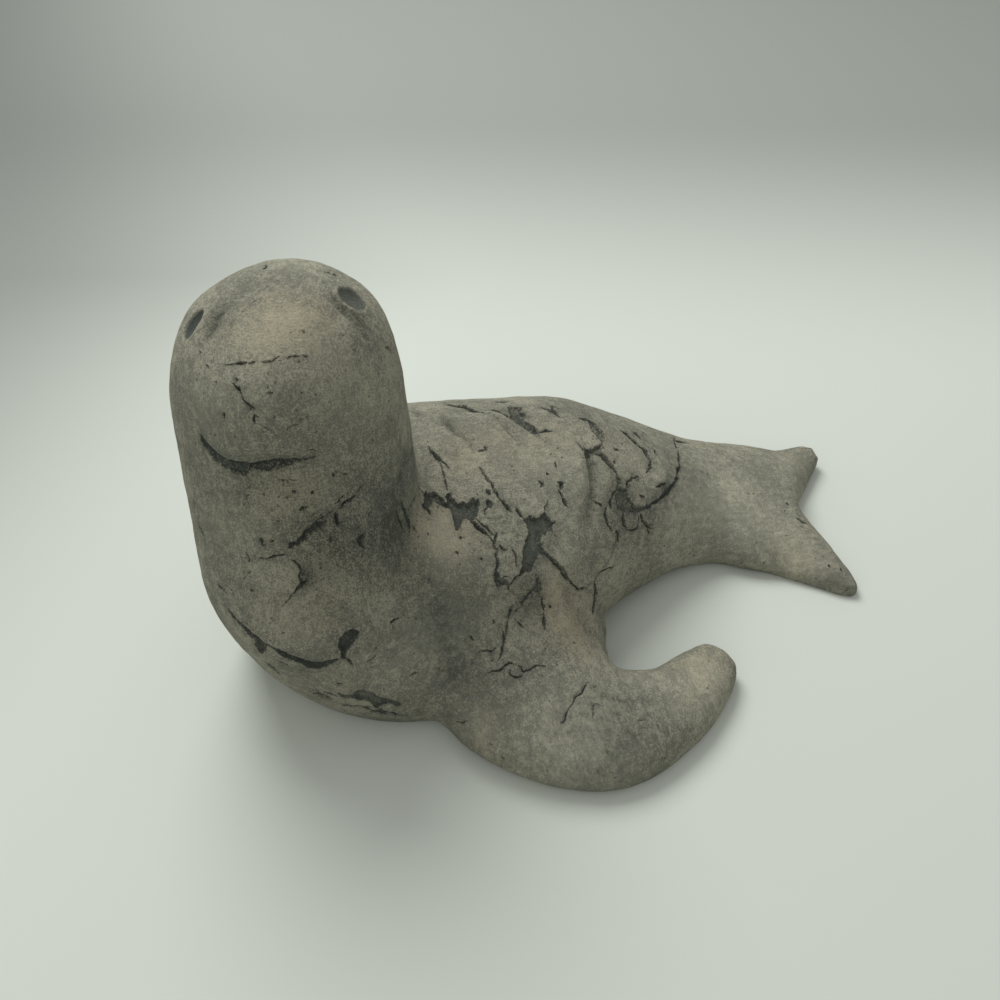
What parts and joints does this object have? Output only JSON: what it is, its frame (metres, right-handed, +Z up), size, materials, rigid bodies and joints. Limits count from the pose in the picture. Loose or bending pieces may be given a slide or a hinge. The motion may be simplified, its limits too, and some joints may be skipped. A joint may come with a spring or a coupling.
{
  "type": "seal figurine",
  "caption": "Hand-modelled unglazed clay seal lying with its head raised and turned, front flippers spread and tail forked, torn cracks stained dark.",
  "frame": {"origin": "on the flat underside, under the neck", "axes": "+Z up, +Y from the chest to the tail, +X to the seal's own left"},
  "size_m": [0.1674, 0.216, 0.124],
  "materials": {
    "clay": "matte, unglazed, smoke-stained"
  },
  "bodies": {
    "root": {"seal_figurine": "clay"}
  },
  "joints": []
}
